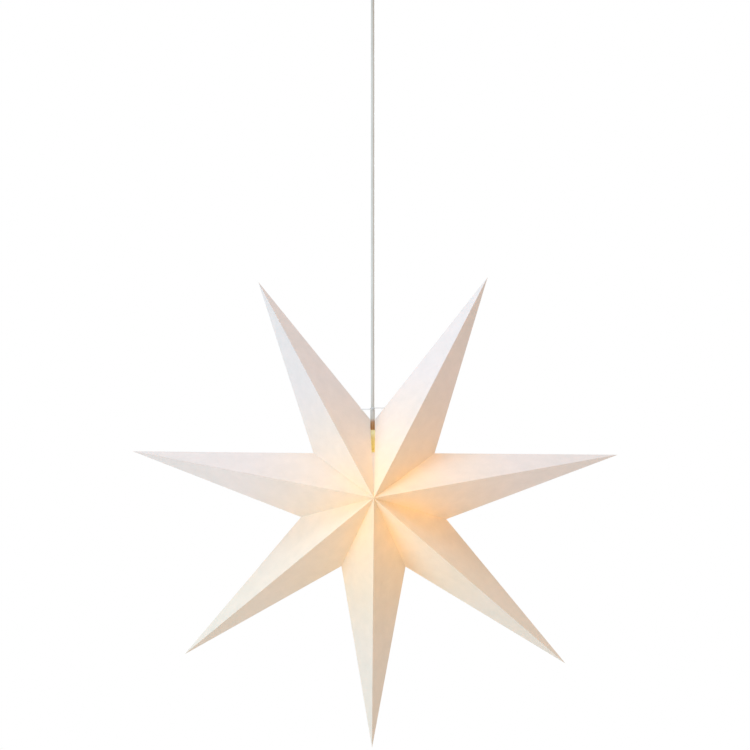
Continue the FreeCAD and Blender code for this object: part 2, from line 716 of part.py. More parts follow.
def bulb_glass():
    """Opal ball with a short neck that goes up into the screw cap; hollow glass."""
    ball = "sizes.bulb_radius"
    wall = "sizes.bulb_glass"
    foot = "sizes.bulb_neck_foot"
    foot_radius = "sqrt(%s^2 - %s^2)" % (ball, foot)
    inner_foot_radius = "sqrt((%s - %s)^2 - %s^2)" % (ball, wall, foot)
    neck = "sizes.bulb_neck_radius"
    neck_low = "sizes.screw_cap_bottom - sizes.screw_pitch / 2"
    neck_top = "sizes.screw_cap_bottom + sizes.screw_pitch"
    turned("bulb_glass", STAR, [
        ("0", "-" + ball, ball),
        (ball, "0", ball),
        (foot_radius, foot, "-" + ball),
        (neck, neck_low),
        (neck, neck_top),
        ("%s - %s" % (neck, wall), neck_top),
        ("%s - %s" % (neck, wall), neck_low, "%s + %s" % (ball, wall)),
        (inner_foot_radius, foot, "-(%s - %s)" % (ball, wall)),
        ("%s - %s" % (ball, wall), "0", "-(%s - %s)" % (ball, wall)),
        ("0", "-(%s - %s)" % (ball, wall)),
    ])


def bulb_cap():
    """Brass screw cap with rounded crests, the black insulator and the end contact."""
    root = "sizes.screw_cap_root"
    low = "sizes.screw_cap_bottom"
    crest_arc = "sizes.screw_pitch * 0.75"
    outline = [("sizes.bulb_neck_radius", low), ("sizes.screw_cap_radius", low)]
    outline.append(("sizes.screw_cap_radius", low + " + sizes.screw_pitch / 2"))
    for crest in range(int(value(CRESTS))):
        outline.append((root, "%s + (%d + 0.6) * sizes.screw_pitch" % (low, crest), crest_arc))
    outline.append((root, "%s + (%s + 0.6) * sizes.screw_pitch" % (low, CRESTS)))
    outline.append((root + " * 0.6", CAP_TOP))
    outline.append(("sizes.bulb_neck_radius * 0.5", CAP_TOP))
    outline.append(("sizes.bulb_neck_radius * 0.5", CAP_TOP + " - sizes.screw_cap_wall"))
    outline.append(("sizes.bulb_neck_radius - sizes.screw_cap_wall",
                    "%s + (%s + 0.4) * sizes.screw_pitch" % (low, CRESTS)))
    outline.append(("sizes.bulb_neck_radius - sizes.screw_cap_wall",
                    low + " + sizes.screw_pitch"))
    outline.append(("sizes.bulb_neck_radius", low + " + sizes.screw_pitch"))
    turned("bulb_screw_cap", STAR, outline)
    tip_low = "sizes.bulb_tip - sizes.holder_wall / 2"
    turned("bulb_insulator", STAR, [
        ("0", CAP_TOP),
        (root + " * 0.6", CAP_TOP),
        ("sizes.tube_radius", tip_low),
        ("0", tip_low),
    ])
    turned("bulb_contact", STAR, [
        ("0", tip_low),
        ("sizes.tube_radius", tip_low),
        ("sizes.tube_radius * 0.6", "sizes.bulb_tip"),
        ("0", "sizes.bulb_tip"),
    ])


def bulb_inside():
    """Glass stem in the bulb and the light strips that stand round it."""
    neck = "sizes.bulb_neck_radius - sizes.bulb_glass"
    top = "sizes.screw_cap_bottom + sizes.screw_pitch"
    stem_radius = "sizes.filament_radius * 1.6"
    stem_low = "sizes.filament_length / 2"
    turned("bulb_stem", STAR, [
        ("0", stem_low),
        (stem_radius, stem_low),
        (stem_radius, top + " - sizes.screw_pitch"),
        (neck, top),
        ("0", top),
    ])
    strips = []
    for turn in (45, 135, 225, 315):
        strips.append(cylinder("filament_%d" % turn, "sizes.filament_radius",
                               "sizes.filament_length",
                               "sizes.filament_spread * cos(%d)" % turn,
                               "sizes.filament_spread * sin(%d)" % turn,
                               "%s - sizes.filament_length / 2" % STAR))
    keep(fused("bulb_filaments", strips), "bulb_filaments")


# ---------------------------------------------------------------- paper star

def star_place():
    """The star's own frame: X to the right, Y up in its plane and Z towards the viewer."""
    upright = FreeCAD.Rotation(FreeCAD.Vector(1, 0, 0), 90)
    return FreeCAD.Placement(FreeCAD.Vector(size("star_offset"), 0, value(STAR)), upright)


def polar(radius, degrees):
    turn = math.radians(degrees)
    return FreeCAD.Vector(radius * math.cos(turn), radius * math.sin(turn), 0)


def star_layout():
    """For each point: name, its two seam directions, valley radii and the reach of its tip."""
    gap = size("open_seam_gap")
    first = size("open_seam_direction") + gap / 2
    left_over = FULL_TURN - gap
    layout = []
    for name, wedge, reach in POINTS:
        width = left_over if wedge is None else size("wedge_" + name)
        left_over -= width
        radii = [size("valley_radius"), size("valley_radius")]
        if name == POINTS[0][0]:
            radii[0] = size("open_valley_radius")
        if name == POINTS[-1][0]:
            radii[1] = size("open_valley_radius")
        layout.append((name, (first, first + width), radii, size("reach_" + name)))
        first += width
    return layout


def meet(planes):
    """The place where three planes, each a point and a normal, cut each other."""
    (a, n1), (b, n2), (c, n3) = planes
    across = n1.dot(n2.cross(n3))
    return (n2.cross(n3) * a.dot(n1) + n3.cross(n1) * b.dot(n2)
            + n1.cross(n2) * c.dot(n3)) / across


def facet(apex, valley, tip, thickness):
    """A facet's plane moved inwards by the card's thickness: a place on it and its normal."""
    normal = (valley - apex).cross(tip - apex).normalize()
    if normal.dot(apex) < 0:
        normal = normal * -1
    return apex - normal * thickness, normal


def star_point(name, seams, radii, reach):
    """One hollow point: four flat facets folded from card, open along both of its seams, with
    the glue flaps that lie against the neighbours' flaps inside the star."""
    card = size("paper_thickness")
    front = FreeCAD.Vector(0, 0, size("star_half_depth"))
    valleys = [polar(radius, seam) for radius, seam in zip(radii, seams)]
    tip = polar(reach, sum(seams) / 2)
    middle = (FreeCAD.Vector(0, 0, 0), FreeCAD.Vector(0, 0, 1))
    sides = [facet(front, valley, tip, card) for valley in valleys]
    seam_planes = [(FreeCAD.Vector(0, 0, 0), polar(1, seam + 90)) for seam in seams]
    inner_valleys = [meet((side, seam, middle)) for side, seam in zip(sides, seam_planes)]
    inner_tip = meet((sides[0], sides[1], middle))
    depths = [place.dot(normal) / normal.z for place, normal in sides]
    inner_front = FreeCAD.Vector(0, 0, sum(depths) / 2)

    faces = []
    for seam in (0, 1):
        for sign in (1, -1):
            for apex, valley, end in ((front, valleys[seam], tip),
                                      (inner_front, inner_valleys[seam], inner_tip)):
                faces.append(flat_face([apex * sign, valley, end]))
        faces.append(flat_face([front, valleys[seam], front * -1, inner_front * -1,
                                inner_valleys[seam], inner_front]))
    shell = Part.Solid(Part.makeShell(faces))
    if shell.Volume < 0:
        shell.reverse()
    flaps = []
    for seam, into in ((0, 1), (1, -1)):
        if radii[seam] == size("valley_radius"):
            for sign in (1, -1):
                flaps.append(glue_flap(front * sign, valleys[seam],
                                       seam_planes[seam][1] * into * card))
    return shell.multiFuse(flaps).removeSplitter() if flaps else shell


def flat_face(corners):
    return Part.Face(Part.makePolygon(corners + corners[:1]))


def glue_flap(apex, valley, thickness):
    """A flap along one seam edge: a strip with slanted ends, just inside the seam plane."""
    along = (valley - apex).normalize()
    length = (valley - apex).Length
    inward = (apex * -1 - along * along.dot(apex * -1)).normalize()
    buried = inward * (size("paper_thickness") / 2)
    end = size("flap_end")
    slant = end + size("flap_taper")
    rim = apex + buried
    edge = apex + inward * size("flap_width")
    strip = flat_face([rim + along * end, rim + along * (length - end),
                       edge + along * (length - slant), edge + along * slant])
    return strip.extrude(thickness)


def fold_hole(seam, radius, tip_direction, reach, height):
    """Where the outline fold beside the open seam reaches a height above the star's centre."""
    valley = polar(radius, seam)
    tip = polar(reach, tip_direction)
    share = (height - valley.y) / (tip.y - valley.y)
    return FreeCAD.Vector(valley.x + share * (tip.x - valley.x), height, 0)


def wire_ends():
    """The two fold holes in the star's frame: the right one is a loop's rise higher."""
    layout = star_layout()
    holes = []
    for (name, seams, radii, reach), side, lift in ((layout[0], 0, 0),
                                                    (layout[-1], 1, size("loop_pitch"))):
        middle = sum(seams) / 2
        holes.append(fold_hole(seams[side], radii[side], middle, reach,
                               value(WIRE_HEIGHT) + lift))
    return holes


def star_points():
    hole_reach = size("hook_reach")
    holes = wire_ends()
    for name, seams, radii, reach in star_layout():
        shape = star_point(name, seams, radii, reach)
        for hole, point in zip(holes, (POINTS[0][0], POINTS[-1][0])):
            if name == point:
                start = hole - FreeCAD.Vector(hole_reach, 0, 0)
                punch = Part.makeCylinder(size("wire_hole_radius"), 2 * hole_reach, start,
                                          FreeCAD.Vector(1, 0, 0))
                shape = shape.cut(punch)
        shaped("point_" + name, shape, star_place())


def seam_strips():
    """Card strips that close the open seam, front and back, from the apex to the slit."""
    card = size("paper_thickness")
    gap = size("open_seam_gap")
    radius = size("open_valley_radius")
    front = FreeCAD.Vector(0, 0, size("star_half_depth"))
    edges = [polar(radius, size("open_seam_direction") + turn) - front
             for turn in (gap / 2, -gap / 2)]
    shares = (size("strip_start") / radius, size("strip_reach") / radius)
    thickness = card * edges[0].Length / radius
    for name, sign in (("front", 1), ("back", -1)):
        corners = [front + edges[0] * shares[0], front + edges[1] * shares[0],
                   front + edges[1] * shares[1], front + edges[0] * shares[1]]
        corners = [FreeCAD.Vector(corner.x, corner.y, corner.z * sign) for corner in corners]
        strip = flat_face(corners).extrude(FreeCAD.Vector(0, 0, -sign * thickness))
        shaped("seam_strip_" + name, strip, star_place())


# ---------------------------------------------------------------- hanger wire

def hanger_wire():
    """Spring wire: one turn round the cord, on the sleeve, with an arm to each side that goes
    through the fold hole and is hooked down inside the star."""
    ring = size("cord_radius") + size("loop_clearance") + size("wire_radius")
    rise = size("loop_pitch")
    offset = FreeCAD.Vector(size("star_offset"), 0, value(STAR))
    left, right = [FreeCAD.Vector(hole.x, 0, hole.y) + offset for hole in wire_ends()]
    left_angle = math.asin(ring / -left.x)
    right_angle = math.asin(ring / right.x)
    start = -math.pi / 2 - left_angle
    sweep = 2 * math.pi + left_angle + right_angle

    def on_loop(share):
        turn = start + sweep * share
        return FreeCAD.Vector(ring * math.cos(turn), ring * math.sin(turn),
                              left.z + rise * share)

    def hook(hole, toward):
        """Arm and hooked end beyond a fold hole, listed outwards from the loop."""
        reach = size("hook_reach")
        bend = size("hook_bend")
        down = FreeCAD.Vector(0, 0, -1)
        turn_start = hole + toward * (reach - bend)
        turn_end = hole + toward * reach + down * bend
        centre = turn_start + down * bend
        middle = centre + (toward - down) * (bend / math.sqrt(2))
        end = hole + toward * reach + down * size("hook_drop")
        return turn_start, middle, turn_end, end

    heading_left = (left - on_loop(0)).normalize()
    heading_right = (right - on_loop(1)).normalize()
    left_bend, left_middle, left_turned, left_end = hook(left, heading_left)
    right_bend, right_middle, right_turned, right_end = hook(right, heading_right)
    path = [Part.LineSegment(left_end, left_turned).toShape(),
            Part.Arc(left_turned, left_middle, left_bend).toShape(),
            Part.LineSegment(left_bend, on_loop(0)).toShape()]
    pieces = 8
    for piece in range(pieces):
        shares = [(piece + part) / pieces for part in (0, 0.5, 1)]
        path.append(Part.Arc(*[on_loop(share) for share in shares]).toShape())
    path.append(Part.LineSegment(on_loop(1), right_bend).toShape())
    path.append(Part.Arc(right_bend, right_middle, right_turned).toShape())
    path.append(Part.LineSegment(right_turned, right_end).toShape())
    shaped("hanger_wire", swept(Part.Wire(path), size("wire_radius")))


# ---------------------------------------------------------------- build and write

def check_and_write():
    doc.recompute()
    for thing in doc.Objects:
        if "Invalid" in thing.State or "Error" in thing.State:
            raise RuntimeError("%s: %s" % (thing.Label, thing.State))
    for node in nodes:
        if node.Shape.isNull() or not node.Shape.isValid() or node.Shape.Volume <= 0:
            raise RuntimeError(node.Label + " has no valid solid")
    os.makedirs("parts", exist_ok=True)
    for node in nodes:
        node.Shape.exportStep("parts/%s.step" % node.Label)
        corner = node.Shape.BoundBox
        print("%-24s %d solid %10.1f mm3  x %.1f %.1f  y %.1f %.1f  z %.1f %.1f" % (
            node.Label, len(node.Shape.Solids), node.Shape.Volume, corner.XMin, corner.XMax,
            corner.YMin, corner.YMax, corner.ZMin, corner.ZMax))


ceiling_bracket()
ceiling_cup()
cup_screws()
terminal_block()
cord_grip()
cord()
conductors()
strain_sleeve()
holder_cap()
holder_skirt()
contact_carrier()
socket_contacts()
cord_collar()
bulb_glass()
bulb_cap()
bulb_inside()
hanger_wire()
star_points()
seam_strips()
check_and_write()
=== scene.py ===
import json
import math

import bmesh
import bpy
from mathutils import Matrix, Vector, noise


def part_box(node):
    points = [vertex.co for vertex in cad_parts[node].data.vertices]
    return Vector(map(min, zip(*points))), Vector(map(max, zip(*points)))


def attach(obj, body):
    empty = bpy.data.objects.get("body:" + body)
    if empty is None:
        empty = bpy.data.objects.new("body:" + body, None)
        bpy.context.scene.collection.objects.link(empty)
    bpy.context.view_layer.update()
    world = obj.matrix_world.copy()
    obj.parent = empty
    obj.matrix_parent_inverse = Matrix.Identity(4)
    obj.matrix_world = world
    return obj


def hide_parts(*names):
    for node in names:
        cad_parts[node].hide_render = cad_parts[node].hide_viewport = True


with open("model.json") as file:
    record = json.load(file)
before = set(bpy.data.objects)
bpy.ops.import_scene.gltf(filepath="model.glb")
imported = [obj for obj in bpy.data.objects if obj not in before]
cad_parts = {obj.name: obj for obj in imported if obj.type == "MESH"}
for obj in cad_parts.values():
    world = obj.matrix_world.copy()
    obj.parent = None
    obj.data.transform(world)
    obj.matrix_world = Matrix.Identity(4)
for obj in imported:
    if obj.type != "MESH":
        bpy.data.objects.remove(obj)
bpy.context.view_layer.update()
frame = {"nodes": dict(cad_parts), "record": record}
nodes = frame["nodes"]

# The photograph's frame and where the star's front apex lies in it
PHOTO_PIXELS = 750
APEX_PIXEL_X = 374.0
APEX_PIXEL_Y = 498.0
METRES_PER_PIXEL = 0.0014403

POINTS = ["upper_left", "left", "lower_left", "bottom", "lower_right", "right", "upper_right"]

# A corner lies in the star's plane within this, and on a point's outline within this turn
FLAT_TOLERANCE = 1e-5
OUTLINE_TOLERANCE = 1e-3


# ------------------------------------------------------------------ places read from the frame

def mid(low, high):
    """The place half way between two places."""
    return (low + high) / 2


def card_corners(name):
    """Front apex, back apex, tip and the two inner corners of one star point."""
    places = [vertex.co.copy() for vertex in nodes["point_" + name].data.vertices]
    front = min(places, key=lambda place: place.y)
    back = max(places, key=lambda place: place.y)
    centre = mid(front, back)
    flat = [place for place in places if abs(place.y - centre.y) < FLAT_TOLERANCE]
    tip = max(flat, key=lambda place: (place - centre).length)
    along = (tip - centre).normalized()
    across = Vector((-along.z, 0, along.x))

    def turn(place):
        """The angle from the tip's direction to a place in the star's plane."""
        arm = place - centre
        return math.atan2(arm.dot(across), arm.dot(along))

    corners = []
    for side in (1, -1):
        edge = max(side * turn(place) for place in flat)
        on_edge = [place for place in flat if side * turn(place) > edge - OUTLINE_TOLERANCE]
        corners.append(max(on_edge, key=lambda place: (place - centre).length))
    return front, back, tip, corners


CORNERS = {name: card_corners(name) for name in POINTS}
APEX = CORNERS["bottom"][0]
STAR_CENTRE = mid(APEX, CORNERS["bottom"][1])
CORD_AXIS = mid(*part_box("pendant_cord"))
CLOSED_VALLEY = (CORNERS["bottom"][3][0] - STAR_CENTRE).length
BULB_CENTRE = mid(*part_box("bulb_glass"))
BULB_CENTRE.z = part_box("bulb_glass")[0].z + (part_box("bulb_glass")[1].x - BULB_CENTRE.x)


# ------------------------------------------------------------------ materials

# Where the bulb's glow painted on the card is warmest, from the star's middle
PAINTED_GLOW_OFFSET = Vector((0.015, 0, -0.01))
# How far above and below the middle the glow painted on the card changes with height: warmer
# below, where more of the bulb's light falls, and slightly cooler at the top
TONE_REACH = 0.3
# The colour that the card gives to light from behind, in dense and in thin pulp, and its share
THROUGH_DARK = (0.86, 0.48, 0.22, 1)
THROUGH_LIGHT = (0.98, 0.57, 0.28, 1)
THROUGH_SHARE = 0.22
# The sleeve's top stands this far above the star's open corner. It is painted a dim warm brown,
# as painted shade inside the star, up to the first distance below that corner, and grey from the
# second distance above it.
SLEEVE_ABOVE_CORNER = 0.0136
PAINTED_SHADE_BELOW = 0.004
GREY_ABOVE = 0.001


def new_material(name):
    """An empty node material, with its tree and its output node."""
    material = bpy.data.materials.new(name)
    material.use_nodes = True
    tree = material.node_tree
    tree.nodes.clear()
    output = tree.nodes.new("ShaderNodeOutputMaterial")
    return material, tree, output


def add(tree, kind, **values):
    """A node with its sockets set or linked; names that start with a capital are sockets."""
    node = tree.nodes.new(kind)
    for key, given in values.items():
        if key[0].islower():
            setattr(node, key, given)
            continue
        socket = node.inputs[key.replace("_", " ")]
        if isinstance(given, bpy.types.NodeSocket):
            tree.links.new(given, socket)
        else:
            socket.default_value = given
    return node


def surface_place(tree, scale=(1, 1, 1)):
    """The place on the object, in metres, times a scale for each axis."""
    place = add(tree, "ShaderNodeTexCoord")
    return add(tree, "ShaderNodeMapping", Vector=place.outputs["Object"], Scale=scale).outputs[0]


def ramp(tree, factor, stops):
    """A colour that follows a factor through (position, colour) stops."""
    node = add(tree, "ShaderNodeValToRGB", Fac=factor)
    band = node.color_ramp
    while len(band.elements) < len(stops):
        band.elements.new(0.5)
    for element, (position, colour) in zip(band.elements, stops):
        element.position = position
        element.color = colour
    return node.outputs["Color"]


def grey(level):
    return (level, level, level, 1.0)


def noise_field(tree, place, scale, detail=4.0, roughness=0.55, distortion=0.0):
    return add(tree, "ShaderNodeTexNoise", Vector=place, Scale=scale, Detail=detail,
               Roughness=roughness, Distortion=distortion).outputs["Fac"]


def bump(tree, height, strength, distance):
    return add(tree, "ShaderNodeBump", Height=height, Strength=strength,
               Distance=distance).outputs["Normal"]


def tinted(tree, factor, dark, light):
    """A colour between a dark and a light one, as a noise factor goes from 0.3 to 0.7."""
    return ramp(tree, factor, [(0.3, dark), (0.7, light)])


def surface(name, dark, light, spread=60.0, stretch=(1, 1, 1), rough=(0.4, 0.5), metallic=0.0,
            bump_scale=400.0, bump_depth=0.00002, coat=0.0):
    """A plain finish: two close colours, an uneven gloss and a fine bump, all from noise."""
    material, tree, output = new_material(name)
    place = surface_place(tree, stretch)
    patches = noise_field(tree, place, spread)
    fine = noise_field(tree, place, bump_scale, 3.0)
    shader = add(tree, "ShaderNodeBsdfPrincipled",
                 Base_Color=tinted(tree, patches, dark, light),
                 Roughness=ramp(tree, fine, [(0.3, grey(rough[0])), (0.7, grey(rough[1]))]),
                 Normal=bump(tree, fine, 0.5, bump_depth),
                 Metallic=metallic, Coat_Weight=coat)
    tree.links.new(shader.outputs[0], output.inputs["Surface"])
    return material


def star_radius(tree, centre):
    """Distance in the star's plane from an axis through a place, in metres."""
    place = add(tree, "ShaderNodeTexCoord").outputs["Object"]
    arm = add(tree, "ShaderNodeVectorMath", operation="SUBTRACT")
    tree.links.new(place, arm.inputs[0])
    arm.inputs[1].default_value = centre
    flat = add(tree, "ShaderNodeVectorMath", operation="MULTIPLY")
    tree.links.new(arm.outputs[0], flat.inputs[0])
    flat.inputs[1].default_value = (1, 0, 1)
    length = add(tree, "ShaderNodeVectorMath", operation="LENGTH")
    tree.links.new(flat.outputs[0], length.inputs[0])
    return length.outputs["Value"]


def height_share(tree, low, high):
    """0 at the lower height and 1 at the upper one."""
    place = add(tree, "ShaderNodeSeparateXYZ",
                Vector=add(tree, "ShaderNodeTexCoord").outputs["Object"])
    share = add(tree, "ShaderNodeMapRange", Value=place.outputs["Z"])
    share.inputs["From Min"].default_value = low
    share.inputs["From Max"].default_value = high
    return share.outputs[0]


def product(tree, first, second):
    """Two colours multiplied."""
    node = add(tree, "ShaderNodeMix", data_type="RGBA", blend_type="MULTIPLY")
    node.inputs[0].default_value = 1.0
    tree.links.new(first, node.inputs[6])
    tree.links.new(second, node.inputs[7])
    return node.outputs[2]


def card_material(name, shadows_pass):
    """White card: cloudy pulp that shows in the light behind it, a fine fibre bump, greyer
    rubbed folds, and the bulb's glow painted into its colour as a warmer tone round the bulb and
    in the lower points, fading to a slightly cooler tone painted at the top. Where shadows pass,
    the lamp in the bulb lights the card behind it."""
    material, tree, output = new_material(name)
    place = surface_place(tree)
    clouds = noise_field(tree, place, 55.0, 6.0, 0.62)
    flecks = noise_field(tree, place, 420.0, 2.0, 0.5)
    fibres = noise_field(tree, surface_place(tree, (1, 1, 3.5)), 900.0, 3.0, 0.7, 0.4)
    # Painted glow: the bulb's warm light painted into the card's colour round its middle
    painted_glow = ramp(tree, star_radius(tree, STAR_CENTRE + PAINTED_GLOW_OFFSET),
                  [(0.03, (1, 0.94, 0.76, 1)), (0.10, (1, 0.98, 0.90, 1)), (0.20, (1, 1, 1, 1))])
    # Painted glow by height: warmer in the lower points, where more of the bulb's light falls,
    # and slightly cooler in the upper ones
    lower = ramp(tree, height_share(tree, STAR_CENTRE.z - TONE_REACH, STAR_CENTRE.z + TONE_REACH),
                 [(0.08, (1, 0.985, 0.90, 1)), (0.30, (1, 0.975, 0.87, 1)),
                  (0.52, (1, 1, 0.99, 1)), (0.70, (0.985, 0.99, 1, 1))])
    pulp = tinted(tree, clouds, (0.87, 0.865, 0.86, 1), (0.905, 0.90, 0.90, 1))
    specks = ramp(tree, flecks, [(0.28, (0.965, 0.96, 0.95, 1)), (0.36, (1, 1, 1, 1))])
    folds = ramp(tree, add(tree, "ShaderNodeAttribute", attribute_name="fold").outputs["Fac"],
                 [(0.72, (1, 1, 1, 1)), (1.0, (0.93, 0.925, 0.92, 1))])
    # The paper's own colour, times the painted glow by height
    paper = product(tree, product(tree, product(tree, pulp, specks), folds), lower)
    lit = tinted(tree, clouds, THROUGH_DARK, THROUGH_LIGHT)
    normal = bump(tree, fibres, 0.35, 0.00006)
    diffuse = add(tree, "ShaderNodeBsdfDiffuse", Color=product(tree, paper, painted_glow),
                  Normal=normal)
    through = add(tree, "ShaderNodeBsdfTranslucent", Color=lit, Normal=normal)
    mix = add(tree, "ShaderNodeMixShader", Fac=THROUGH_SHARE)
    tree.links.new(diffuse.outputs[0], mix.inputs[1])
    tree.links.new(through.outputs[0], mix.inputs[2])
    shader = mix
    if shadows_pass:
        clear = add(tree, "ShaderNodeBsdfTransparent")
        rays = add(tree, "ShaderNodeLightPath")
        shader = add(tree, "ShaderNodeMixShader", Fac=rays.outputs["Is Shadow Ray"])
        tree.links.new(mix.outputs[0], shader.inputs[1])
        tree.links.new(clear.outputs[0], shader.inputs[2])
    tree.links.new(shader.outputs[0], output.inputs["Surface"])
    return material


def sleeve_painted_shade():
    """The sleeve on the cord: grey like the cord above the star, with painted warm shade below.
    """
    material, tree, output = new_material("sleeve_painted_shade")
    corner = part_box("strain_sleeve")[1].z - SLEEVE_ABOVE_CORNER
    share = height_share(tree, corner - PAINTED_SHADE_BELOW, corner + GREY_ABOVE)
    # Painted shade: dim warm brown where the sleeve goes into the star, grey above
    painted_shade = ramp(tree, share, [(0.0, (0.44, 0.25, 0.13, 1)), (1.0, (0.56, 0.55, 0.52, 1))])
    fine = noise_field(tree, surface_place(tree), 700.0, 3.0)
    patches = tinted(tree, noise_field(tree, surface_place(tree), 90.0), grey(0.93), grey(1.0))
    shader = add(tree, "ShaderNodeBsdfPrincipled", Base_Color=product(tree, painted_shade, patches),
                 Roughness=ramp(tree, fine, [(0.3, grey(0.45)), (0.7, grey(0.55))]),
                 Normal=bump(tree, fine, 0.5, 0.00003))
    tree.links.new(shader.outputs[0], output.inputs["Surface"])
    return material


def opal_material():
    """Opal glass, lit from inside."""
    material, tree, output = new_material("opal_glass")
    place = surface_place(tree)
    patches = noise_field(tree, place, 120.0)
    glow = add(tree, "ShaderNodeEmission", Strength=0.9,
               Color=tinted(tree, patches, (1.0, 0.62, 0.28, 1), (1.0, 0.66, 0.32, 1)))
    glass = add(tree, "ShaderNodeBsdfPrincipled", Base_Color=(0.9, 0.88, 0.84, 1), Roughness=0.25)
    both = add(tree, "ShaderNodeAddShader")
    tree.links.new(glow.outputs[0], both.inputs[0])
    tree.links.new(glass.outputs[0], both.inputs[1])
    clear = add(tree, "ShaderNodeBsdfTransparent")
    rays = add(tree, "ShaderNodeLightPath")
    mix = add(tree, "ShaderNodeMixShader", Fac=rays.outputs["Is Shadow Ray"])
    tree.links.new(both.outputs[0], mix.inputs[1])
    tree.links.new(clear.outputs[0], mix.inputs[2])
    tree.links.new(mix.outputs[0], output.inputs["Surface"])
    return material


MATERIALS = {
    "white_cord": surface(
        "cord_sheath", (0.52, 0.51, 0.48, 1), (0.58, 0.57, 0.54, 1), spread=90,
        stretch=(1, 1, 0.2), rough=(0.42, 0.55), bump_scale=700, bump_depth=0.00003),
    "white_enamel": surface(
        "cup_enamel", (0.73, 0.73, 0.715, 1), (0.77, 0.77, 0.755, 1), spread=25,
        rough=(0.48, 0.56), bump_scale=260, coat=0.05),
    "white_plastic": surface(
        "moulded_white", (0.80, 0.79, 0.76, 1), (0.84, 0.83, 0.80, 1), spread=80,
        rough=(0.30, 0.42), bump_scale=900, bump_depth=0.00001),
    "zinc_steel": surface(
        "zinc_steel", (0.56, 0.57, 0.58, 1), (0.68, 0.69, 0.70, 1), spread=220,
        stretch=(1, 1, 0.3), rough=(0.28, 0.42), metallic=1.0, bump_scale=1400,
        bump_depth=0.00001),
    "spring_steel": surface(
        "spring_steel", (0.60, 0.60, 0.60, 1), (0.70, 0.70, 0.70, 1), spread=300,
        stretch=(0.2, 1, 1), rough=(0.32, 0.45), metallic=1.0, bump_scale=1500,
        bump_depth=0.00001),
    "brass": surface(
        "turned_brass", (0.66, 0.48, 0.22, 1), (0.76, 0.58, 0.28, 1), spread=260,
        stretch=(1, 1, 0.25), rough=(0.25, 0.38), metallic=1.0, bump_scale=1200,
        bump_depth=0.00001),
    "nickel_brass": surface(
        "nickel_plate", (0.62, 0.60, 0.56, 1), (0.70, 0.69, 0.65, 1), spread=240,
        stretch=(1, 1, 0.3), rough=(0.22, 0.34), metallic=1.0, bump_scale=1300,
        bump_depth=0.00001),
    "ceramic": surface(
        "steatite", (0.76, 0.74, 0.68, 1), (0.82, 0.80, 0.74, 1), spread=300, rough=(0.6, 0.75),
        bump_scale=1100, bump_depth=0.00004),
    "clear_glass": surface(
        "stem_glass", (0.70, 0.72, 0.72, 1), (0.76, 0.78, 0.78, 1), spread=200,
        rough=(0.08, 0.15), bump_scale=500, bump_depth=0.00001),
    "black_glass": surface(
        "black_glass", (0.02, 0.02, 0.02, 1), (0.03, 0.03, 0.03, 1), spread=200,
        rough=(0.12, 0.2), bump_scale=900, bump_depth=0.00001),
    "light_strip": surface(
        "phosphor", (0.85, 0.55, 0.12, 1), (0.95, 0.66, 0.2, 1), spread=600, rough=(0.5, 0.65),
        bump_scale=1500, bump_depth=0.00003),
    "brown_insulation": surface(
        "brown_sheath", (0.16, 0.07, 0.03, 1), (0.20, 0.09, 0.04, 1), spread=200,
        stretch=(1, 1, 0.3), bump_scale=900, bump_depth=0.00001),
    "blue_insulation": surface(
        "blue_sheath", (0.03, 0.10, 0.34, 1), (0.04, 0.13, 0.42, 1), spread=200,
        stretch=(1, 1, 0.3), bump_scale=900, bump_depth=0.00001),
    "opal_glass": opal_material(),
    "star_card": card_material("card_outside", False),
}
# The card's inner faces, rims and flaps
CARD_INSIDE = card_material("card_inside", True)
# White plastic with the bulb's warm yellow glow painted into its colour
GLOW_PAINTED_PLASTIC = surface(
    "plastic_painted_glow", (0.84, 0.80, 0.42, 1), (0.88, 0.84, 0.47, 1), spread=80,
    rough=(0.30, 0.42), bump_scale=900, bump_depth=0.00001)
# Nodes with a finish of their own in place of their slot's: the lampholder's cap and skirt with
# the bulb's yellow glow painted in, and the sleeve with painted shade
SPECIAL = {"holder_cap": GLOW_PAINTED_PLASTIC, "holder_skirt": GLOW_PAINTED_PLASTIC, "strain_sleeve": sleeve_painted_shade()}


def dress_cad_nodes():
    """Every CAD node that stays gets the finish of its slot, or one of its own."""
    for entry in frame["record"]["subparts"]:
        node = nodes[entry["node"]]
        node.data.materials.clear()
        finish = SPECIAL.get(entry["node"], MATERIALS[entry["material_slot"]])
        node.data.materials.append(finish)


# ------------------------------------------------------------------ folded card

CARD_THICKNESS = 0.0004
FLAP_WIDTH = 0.008
FLAP_END = 0.014
FLAP_TAPER = 0.007
# A corner of the open seam is at least this much further out than a closed one
OPEN_SEAM_MARGIN = 0.001
WIRE_RADIUS = 0.0006
# The wire's loop round the cord stays within this distance of the cord's axis
WIRE_LOOP_REACH = 0.008
WIRE_HOLE_RADIUS = 0.0015
WIRE_HOLE_SEGMENTS = 24
PUNCH_LENGTH = 0.012
# Shorter edges than this are closed up after a hole is punched
SLIVER = 0.00001
# A facet's rows, which crowd towards the star's middle, and its columns between the folds
ROWS = 44
ROW_CROWDING = 1.15
COLUMNS = 12
# The first column beside a fold, and the second as a multiple of it
FOLD_COLUMN = 0.0005
SECOND_COLUMN = 2.5
# How wide a fold is rubbed on each side
RUBBED_WIDTH = 0.004
# The facets' bow, the share of it that all have, and the share that varies with place
BOW = 0.0007
BOW_EVEN = 0.7
BOW_RIPPLE = 0.6
RIPPLES_PER_METRE = 14
# Steps between the ripples of two points and of two facets
POINT_SEED = 7.3
FACET_SEED = 1.7
# Corners of neighbouring facets nearer than this are one
MERGE_DISTANCE = 2e-6
NO_SPAN = 1e-6


